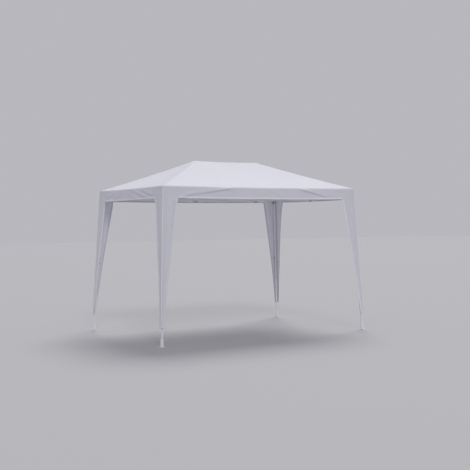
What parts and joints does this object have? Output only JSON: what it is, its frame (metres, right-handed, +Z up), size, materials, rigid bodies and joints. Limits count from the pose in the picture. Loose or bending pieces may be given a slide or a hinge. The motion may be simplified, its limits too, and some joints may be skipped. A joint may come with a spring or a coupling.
{
  "type": "pop up gazebo",
  "caption": "Free-standing pop-up gazebo: a folding scissor frame on splayed telescopic legs under a hipped fabric canopy with a valance and tapered leg covers.",
  "frame": {"origin": "on the ground at the centre of the four feet", "axes": "+X along the long side, +Y toward the back, +Z up; the front faces -Y"},
  "size_m": [3.2296, 2.2092, 2.392],
  "materials": {
    "coated_steel": "white powder-coated steel tube, satin",
    "bracket_plastic": "light grey moulded nylon",
    "lock_plastic": "dark grey moulded plastic knob",
    "canopy_fabric": "white coated woven sheeting, soft sheen"
  },
  "bodies": {
    "front_left_leg": {"front_left_leg_outer": "coated_steel", "front_left_top_bracket": "bracket_plastic", "canopy": "canopy_fabric"},
    "front_left_inner_leg": {"front_left_leg_inner": "coated_steel"},
    "front_left_slider_body": {"front_left_slider": "bracket_plastic"},
    "front_left_slider_lock_body": {"front_left_slider_lock": "lock_plastic"},
    "front_left_height_lock_body": {"front_left_height_lock": "lock_plastic"},
    "front_right_leg": {"front_right_leg_outer": "coated_steel", "front_right_top_bracket": "bracket_plastic"},
    "front_right_inner_leg": {"front_right_leg_inner": "coated_steel"},
    "front_right_slider_body": {"front_right_slider": "bracket_plastic"},
    "front_right_slider_lock_body": {"front_right_slider_lock": "lock_plastic"},
    "front_right_height_lock_body": {"front_right_height_lock": "lock_plastic"},
    "back_right_leg": {"back_right_leg_outer": "coated_steel", "back_right_top_bracket": "bracket_plastic"},
    "back_right_inner_leg": {"back_right_leg_inner": "coated_steel"},
    "back_right_slider_body": {"back_right_slider": "bracket_plastic"},
    "back_right_slider_lock_body": {"back_right_slider_lock": "lock_plastic"},
    "back_right_height_lock_body": {"back_right_height_lock": "lock_plastic"},
    "back_left_leg": {"back_left_leg_outer": "coated_steel", "back_left_top_bracket": "bracket_plastic"},
    "back_left_inner_leg": {"back_left_leg_inner": "coated_steel"},
    "back_left_slider_body": {"back_left_slider": "bracket_plastic"},
    "back_left_slider_lock_body": {"back_left_slider_lock": "lock_plastic"},
    "back_left_height_lock_body": {"back_left_height_lock": "lock_plastic"},
    "front_bar_1_outer": {"front_bar_1_outer": "coated_steel"},
    "front_bar_1_inner": {"front_bar_1_inner": "coated_steel"},
    "front_bar_2_outer": {"front_bar_2_outer": "coated_steel"},
    "front_bar_2_inner": {"front_bar_2_inner": "coated_steel"},
    "front_bar_3_outer": {"front_bar_3_outer": "coated_steel"},
    "front_bar_3_inner": {"front_bar_3_inner": "coated_steel"},
    "right_mid_upper": {"right_mid_upper_bracket": "bracket_plastic"},
    "right_mid_lower": {"right_mid_lower_bracket": "bracket_plastic"},
    "right_bar_1_outer": {"right_bar_1_outer": "coated_steel"},
    "right_bar_1_inner": {"right_bar_1_inner": "coated_steel"},
    "right_bar_2_outer": {"right_bar_2_outer": "coated_steel"},
    "right_bar_2_inner": {"right_bar_2_inner": "coated_steel"},
    "back_bar_1_outer": {"back_bar_1_outer": "coated_steel"},
    "back_bar_1_inner": {"back_bar_1_inner": "coated_steel"},
    "back_bar_2_outer": {"back_bar_2_outer": "coated_steel"},
    "back_bar_2_inner": {"back_bar_2_inner": "coated_steel"},
    "back_bar_3_outer": {"back_bar_3_outer": "coated_steel"},
    "back_bar_3_inner": {"back_bar_3_inner": "coated_steel"},
    "left_mid_upper": {"left_mid_upper_bracket": "bracket_plastic"},
    "left_mid_lower": {"left_mid_lower_bracket": "bracket_plastic"},
    "left_bar_1_outer": {"left_bar_1_outer": "coated_steel"},
    "left_bar_1_inner": {"left_bar_1_inner": "coated_steel"},
    "left_bar_2_outer": {"left_bar_2_outer": "coated_steel"},
    "left_bar_2_inner": {"left_bar_2_inner": "coated_steel"},
    "left_king": {"left_king_post": "coated_steel"},
    "left_king_lower": {"left_king_lower_bracket": "bracket_plastic"},
    "right_king": {"right_king_post": "coated_steel"},
    "right_king_lower": {"right_king_lower_bracket": "bracket_plastic"},
    "middle_bar_1_outer": {"middle_bar_1_outer": "coated_steel"},
    "middle_bar_1_inner": {"middle_bar_1_inner": "coated_steel"},
    "middle_bar_2_outer": {"middle_bar_2_outer": "coated_steel"},
    "middle_bar_2_inner": {"middle_bar_2_inner": "coated_steel"},
    "middle_bar_3_outer": {"middle_bar_3_outer": "coated_steel"},
    "middle_bar_3_inner": {"middle_bar_3_inner": "coated_steel"}
  },
  "joints": [
    {"name": "fold", "type": "hinge", "parent": "front_left_leg", "child": "front_bar_1_outer", "pos_m": [-1.39907, -0.97164, 1.965], "axis": [0, 0.9986, -0.0523], "range_deg": [0, 78], "deforming": ["canopy"]},
    {"name": "left_bar_2_inner_hinge", "type": "hinge", "parent": "front_left_leg", "child": "left_bar_2_inner", "pos_m": [-1.48977, -0.93164, 1.965], "axis": [-0.9986, 0, 0.0523], "range_deg": [-3, 81]},
    {"name": "front_bar_1_inner_hinge", "type": "hinge", "parent": "front_bar_1_outer", "child": "front_bar_1_inner", "pos_m": [-0.93485, -0.97549, 1.89161], "axis": [0, -0.9986, 0.0523], "range_deg": [-3, 159]},
    {"name": "front_bar_2_inner_hinge", "type": "hinge", "parent": "front_bar_1_outer", "child": "front_bar_2_inner", "pos_m": [-0.46743, -0.97806, 1.84255], "axis": [0, -0.9986, 0.0523], "range_deg": [-3, 159]},
    {"name": "left_bar_2_outer_hinge", "type": "hinge", "parent": "left_bar_2_inner", "child": "left_bar_2_outer", "pos_m": [-1.49362, -0.46743, 1.89161], "axis": [-0.9986, 0, 0.0523], "range_deg": [-159, 3]},
    {"name": "left_bar_1_outer_hinge", "type": "hinge", "parent": "left_bar_2_inner", "child": "left_bar_1_outer", "pos_m": [-1.49619, 0, 1.84255], "axis": [-0.9986, 0, 0.0523], "range_deg": [-159, 3]},
    {"name": "front_left_slider_body_hinge", "type": "hinge", "parent": "front_bar_1_inner", "child": "front_left_slider_body", "pos_m": [-1.4042, -0.97678, 1.86701], "axis": [0, -0.9986, 0.0523], "range_deg": [-81, 3]},
    {"name": "front_bar_2_outer_hinge", "type": "hinge", "parent": "front_bar_1_inner", "child": "front_bar_2_outer", "pos_m": [-0.46743, -0.97292, 1.94067], "axis": [0, -0.9986, 0.0523], "range_deg": [-159, 3]},
    {"name": "front_bar_3_outer_hinge", "type": "hinge", "parent": "front_bar_2_inner", "child": "front_bar_3_outer", "pos_m": [0.46743, -0.97292, 1.94067], "axis": [0, -0.9986, 0.0523], "range_deg": [-159, 3]},
    {"name": "left_bar_1_inner_hinge", "type": "hinge", "parent": "left_bar_2_outer", "child": "left_bar_1_inner", "pos_m": [-1.49104, 0, 1.94067], "axis": [-0.9986, 0, 0.0523], "range_deg": [-3, 159]},
    {"name": "back_left_leg_hinge", "type": "hinge", "parent": "left_bar_1_outer", "child": "back_left_leg", "pos_m": [-1.48977, 0.93164, 1.965], "axis": [-0.9986, 0, 0.0523], "range_deg": [-3, 81]},
    {"name": "left_mid_lower_hinge", "type": "hinge", "parent": "left_bar_1_outer", "child": "left_mid_lower", "pos_m": [-1.49619, 0, 1.84255], "axis": [-0.9986, 0, 0.0523], "range_deg": [-3, 81]},
    {"name": "front_bar_3_inner_hinge", "type": "hinge", "parent": "front_bar_2_outer", "child": "front_bar_3_inner", "pos_m": [0.46743, -0.97806, 1.84255], "axis": [0, -0.9986, 0.0523], "range_deg": [-3, 159]},
    {"name": "front_right_slider_body_hinge", "type": "hinge", "parent": "front_bar_3_outer", "child": "front_right_slider_body", "pos_m": [1.4042, -0.97678, 1.86701], "axis": [0, -0.9986, 0.0523], "range_deg": [-3, 81]},
    {"name": "back_left_slider_body_hinge", "type": "hinge", "parent": "left_bar_1_inner", "child": "back_left_slider_body", "pos_m": [-1.4949, 0.93678, 1.86701], "axis": [-0.9986, 0, 0.0523], "range_deg": [-81, 3]},
    {"name": "left_mid_upper_hinge", "type": "hinge", "parent": "left_bar_1_inner", "child": "left_mid_upper", "pos_m": [-1.49104, 0, 1.94067], "axis": [-0.9986, 0, 0.0523], "range_deg": [-81, 3]},
    {"name": "back_bar_3_inner_hinge", "type": "hinge", "parent": "back_left_leg", "child": "back_bar_3_inner", "pos_m": [-1.39907, 0.97164, 1.965], "axis": [0, 0.9986, 0.0523], "range_deg": [-3, 81]},
    {"name": "middle_bar_1_inner_hinge", "type": "hinge", "parent": "left_mid_lower", "child": "middle_bar_1_inner", "pos_m": [-1.46079, 0, 1.84255], "axis": [0, -1, 0], "range_deg": [-3, 81]},
    {"name": "front_right_leg_hinge", "type": "hinge", "parent": "front_bar_3_inner", "child": "front_right_leg", "pos_m": [1.39907, -0.97164, 1.965], "axis": [0, -0.9986, 0.0523], "range_deg": [-81, 3]},
    {"name": "right_bar_1_inner_hinge", "type": "hinge", "parent": "front_right_slider_body", "child": "right_bar_1_inner", "pos_m": [1.4949, -0.93678, 1.86701], "axis": [0.9986, 0, 0.0523], "range_deg": [-3, 81]},
    {"name": "back_bar_3_outer_hinge", "type": "hinge", "parent": "back_left_slider_body", "child": "back_bar_3_outer", "pos_m": [-1.4042, 0.97678, 1.86701], "axis": [0, 0.9986, 0.0523], "range_deg": [-81, 3]},
    {"name": "middle_bar_1_outer_hinge", "type": "hinge", "parent": "left_mid_upper", "child": "middle_bar_1_outer", "pos_m": [-1.45564, 0, 1.94067], "axis": [0, -1, 0], "range_deg": [-81, 3]},
    {"name": "back_bar_2_outer_hinge", "type": "hinge", "parent": "back_bar_3_inner", "child": "back_bar_2_outer", "pos_m": [-0.46743, 0.97806, 1.84255], "axis": [0, 0.9986, 0.0523], "range_deg": [-159, 3]},
    {"name": "left_king_hinge", "type": "hinge", "parent": "middle_bar_1_inner", "child": "left_king", "pos_m": [-0.52401, 0, 1.91627], "axis": [0, -1, 0], "range_deg": [-81, 3]},
    {"name": "right_bar_1_outer_hinge", "type": "hinge", "parent": "front_right_leg", "child": "right_bar_1_outer", "pos_m": [1.48977, -0.93164, 1.965], "axis": [0.9986, 0, 0.0523], "range_deg": [-81, 3]},
    {"name": "right_mid_upper_hinge", "type": "hinge", "parent": "right_bar_1_inner", "child": "right_mid_upper", "pos_m": [1.49104, 0, 1.94067], "axis": [0.9986, 0, 0.0523], "range_deg": [-81, 3]},
    {"name": "right_bar_2_outer_hinge", "type": "hinge", "parent": "right_bar_1_inner", "child": "right_bar_2_outer", "pos_m": [1.49104, 0, 1.94067], "axis": [0.9986, 0, 0.0523], "range_deg": [-159, 3]},
    {"name": "back_bar_2_inner_hinge", "type": "hinge", "parent": "back_bar_3_outer", "child": "back_bar_2_inner", "pos_m": [-0.46743, 0.97292, 1.94067], "axis": [0, 0.9986, 0.0523], "range_deg": [-3, 159]},
    {"name": "left_king_lower_hinge", "type": "hinge", "parent": "middle_bar_1_outer", "child": "left_king_lower", "pos_m": [-0.52401, 0, 1.81802], "axis": [0, -1, 0], "range_deg": [-3, 81]},
    {"name": "back_bar_1_inner_hinge", "type": "hinge", "parent": "back_bar_2_outer", "child": "back_bar_1_inner", "pos_m": [0.46743, 0.97292, 1.94067], "axis": [0, 0.9986, 0.0523], "range_deg": [-3, 159]},
    {"name": "middle_bar_2_outer_hinge", "type": "hinge", "parent": "left_king", "child": "middle_bar_2_outer", "pos_m": [-0.46801, 0, 1.91627], "axis": [0, -1, 0], "range_deg": [-81, 3]},
    {"name": "right_mid_lower_hinge", "type": "hinge", "parent": "right_bar_1_outer", "child": "right_mid_lower", "pos_m": [1.49619, 0, 1.84255], "axis": [0.9986, 0, 0.0523], "range_deg": [-3, 81]},
    {"name": "right_bar_2_inner_hinge", "type": "hinge", "parent": "right_bar_1_outer", "child": "right_bar_2_inner", "pos_m": [1.49619, 0, 1.84255], "axis": [0.9986, 0, 0.0523], "range_deg": [-3, 159]},
    {"name": "middle_bar_3_inner_hinge", "type": "hinge", "parent": "right_mid_upper", "child": "middle_bar_3_inner", "pos_m": [1.45568, 0, 1.94067], "axis": [0, -1, 0], "range_deg": [-3, 81]},
    {"name": "back_right_slider_body_hinge", "type": "hinge", "parent": "right_bar_2_outer", "child": "back_right_slider_body", "pos_m": [1.4949, 0.93678, 1.86701], "axis": [0.9986, 0, 0.0523], "range_deg": [-3, 81]},
    {"name": "back_bar_1_outer_hinge", "type": "hinge", "parent": "back_bar_2_inner", "child": "back_bar_1_outer", "pos_m": [0.46743, 0.97806, 1.84255], "axis": [0, 0.9986, 0.0523], "range_deg": [-159, 3]},
    {"name": "middle_bar_2_inner_hinge", "type": "hinge", "parent": "middle_bar_2_outer", "child": "middle_bar_2_inner", "pos_m": [-0.00058, 0, 1.86715], "axis": [0, -1, 0], "range_deg": [-3, 159]},
    {"name": "middle_bar_3_outer_hinge", "type": "hinge", "parent": "right_mid_lower", "child": "middle_bar_3_outer", "pos_m": [1.46083, 0, 1.84255], "axis": [0, -1, 0], "range_deg": [-81, 3]},
    {"name": "back_right_leg_hinge", "type": "hinge", "parent": "right_bar_2_inner", "child": "back_right_leg", "pos_m": [1.48977, 0.93164, 1.965], "axis": [0.9986, 0, 0.0523], "range_deg": [-81, 3]},
    {"name": "right_king_lower_hinge", "type": "hinge", "parent": "middle_bar_3_inner", "child": "right_king_lower", "pos_m": [0.52404, 0, 1.81802], "axis": [0, -1, 0], "range_deg": [-81, 3]},
    {"name": "right_king_hinge", "type": "hinge", "parent": "middle_bar_3_outer", "child": "right_king", "pos_m": [0.52404, 0, 1.91627], "axis": [0, -1, 0], "range_deg": [-3, 81]},
    {"name": "front_left_leg_telescope", "type": "slide", "parent": "front_left_leg", "child": "front_left_inner_leg", "axis": [0.0523, 0.0523, 0.9973], "range_m": [0, 0.8]},
    {"name": "front_left_slider_lock_pull", "type": "slide", "parent": "front_left_slider_body", "child": "front_left_slider_lock_body", "axis": [0.9986, -0.0027, -0.0522], "range_m": [0, 0.006], "stiffness_N_per_m": 500},
    {"name": "front_left_height_lock_pull", "type": "slide", "parent": "front_left_leg", "child": "front_left_height_lock_body", "axis": [0.9986, -0.0027, -0.0522], "range_m": [0, 0.006], "stiffness_N_per_m": 500},
    {"name": "front_right_leg_telescope", "type": "slide", "parent": "front_right_leg", "child": "front_right_inner_leg", "axis": [-0.0523, 0.0523, 0.9973], "range_m": [0, 0.8]},
    {"name": "front_right_slider_lock_pull", "type": "slide", "parent": "front_right_slider_body", "child": "front_right_slider_lock_body", "axis": [-0.9986, 0, -0.0523], "range_m": [0, 0.006], "stiffness_N_per_m": 500},
    {"name": "front_right_height_lock_pull", "type": "slide", "parent": "front_right_leg", "child": "front_right_height_lock_body", "axis": [-0.9986, 0, -0.0523], "range_m": [0, 0.006], "stiffness_N_per_m": 500},
    {"name": "back_right_leg_telescope", "type": "slide", "parent": "back_right_leg", "child": "back_right_inner_leg", "axis": [-0.0523, -0.0523, 0.9973], "range_m": [0, 0.8]},
    {"name": "back_right_slider_lock_pull", "type": "slide", "parent": "back_right_slider_body", "child": "back_right_slider_lock_body", "axis": [-0.9986, 0.0027, -0.0522], "range_m": [0, 0.006], "stiffness_N_per_m": 500},
    {"name": "back_right_height_lock_pull", "type": "slide", "parent": "back_right_leg", "child": "back_right_height_lock_body", "axis": [-0.9986, 0.0027, -0.0522], "range_m": [0, 0.006], "stiffness_N_per_m": 500},
    {"name": "back_left_leg_telescope", "type": "slide", "parent": "back_left_leg", "child": "back_left_inner_leg", "axis": [0.0523, -0.0523, 0.9973], "range_m": [0, 0.8]},
    {"name": "back_left_slider_lock_pull", "type": "slide", "parent": "back_left_slider_body", "child": "back_left_slider_lock_body", "axis": [0.9986, 0, -0.0523], "range_m": [0, 0.006], "stiffness_N_per_m": 500},
    {"name": "back_left_height_lock_pull", "type": "slide", "parent": "back_left_leg", "child": "back_left_height_lock_body", "axis": [0.9986, 0, -0.0523], "range_m": [0, 0.006], "stiffness_N_per_m": 500}
  ],
  "couplings": [
    {"joint": "left_bar_2_inner_hinge", "follows": "fold", "ratio": 1},
    {"joint": "front_bar_1_inner_hinge", "follows": "fold", "ratio": 2},
    {"joint": "front_bar_2_inner_hinge", "follows": "fold", "ratio": 2},
    {"joint": "left_bar_2_outer_hinge", "follows": "fold", "ratio": -2},
    {"joint": "left_bar_1_outer_hinge", "follows": "fold", "ratio": -2},
    {"joint": "front_left_slider_body_hinge", "follows": "fold", "ratio": -1},
    {"joint": "front_bar_2_outer_hinge", "follows": "fold", "ratio": -2},
    {"joint": "front_bar_3_outer_hinge", "follows": "fold", "ratio": -2},
    {"joint": "left_bar_1_inner_hinge", "follows": "fold", "ratio": 2},
    {"joint": "back_left_leg_hinge", "follows": "fold", "ratio": 1},
    {"joint": "left_mid_lower_hinge", "follows": "fold", "ratio": 1},
    {"joint": "front_bar_3_inner_hinge", "follows": "fold", "ratio": 2},
    {"joint": "front_right_slider_body_hinge", "follows": "fold", "ratio": 1},
    {"joint": "back_left_slider_body_hinge", "follows": "fold", "ratio": -1},
    {"joint": "left_mid_upper_hinge", "follows": "fold", "ratio": -1},
    {"joint": "back_bar_3_inner_hinge", "follows": "fold", "ratio": 1},
    {"joint": "middle_bar_1_inner_hinge", "follows": "fold", "ratio": 1},
    {"joint": "front_right_leg_hinge", "follows": "fold", "ratio": -1},
    {"joint": "right_bar_1_inner_hinge", "follows": "fold", "ratio": 1},
    {"joint": "back_bar_3_outer_hinge", "follows": "fold", "ratio": -1},
    {"joint": "middle_bar_1_outer_hinge", "follows": "fold", "ratio": -1},
    {"joint": "back_bar_2_outer_hinge", "follows": "fold", "ratio": -2},
    {"joint": "left_king_hinge", "follows": "fold", "ratio": -1},
    {"joint": "right_bar_1_outer_hinge", "follows": "fold", "ratio": -1},
    {"joint": "right_mid_upper_hinge", "follows": "fold", "ratio": -1},
    {"joint": "right_bar_2_outer_hinge", "follows": "fold", "ratio": -2},
    {"joint": "back_bar_2_inner_hinge", "follows": "fold", "ratio": 2},
    {"joint": "left_king_lower_hinge", "follows": "fold", "ratio": 1},
    {"joint": "back_bar_1_inner_hinge", "follows": "fold", "ratio": 2},
    {"joint": "middle_bar_2_outer_hinge", "follows": "fold", "ratio": -1},
    {"joint": "right_mid_lower_hinge", "follows": "fold", "ratio": 1},
    {"joint": "right_bar_2_inner_hinge", "follows": "fold", "ratio": 2},
    {"joint": "middle_bar_3_inner_hinge", "follows": "fold", "ratio": 1},
    {"joint": "back_right_slider_body_hinge", "follows": "fold", "ratio": 1},
    {"joint": "back_bar_1_outer_hinge", "follows": "fold", "ratio": -2},
    {"joint": "middle_bar_2_inner_hinge", "follows": "fold", "ratio": 2},
    {"joint": "middle_bar_3_outer_hinge", "follows": "fold", "ratio": -1},
    {"joint": "back_right_leg_hinge", "follows": "fold", "ratio": -1},
    {"joint": "right_king_lower_hinge", "follows": "fold", "ratio": -1},
    {"joint": "right_king_hinge", "follows": "fold", "ratio": 1}
  ]
}
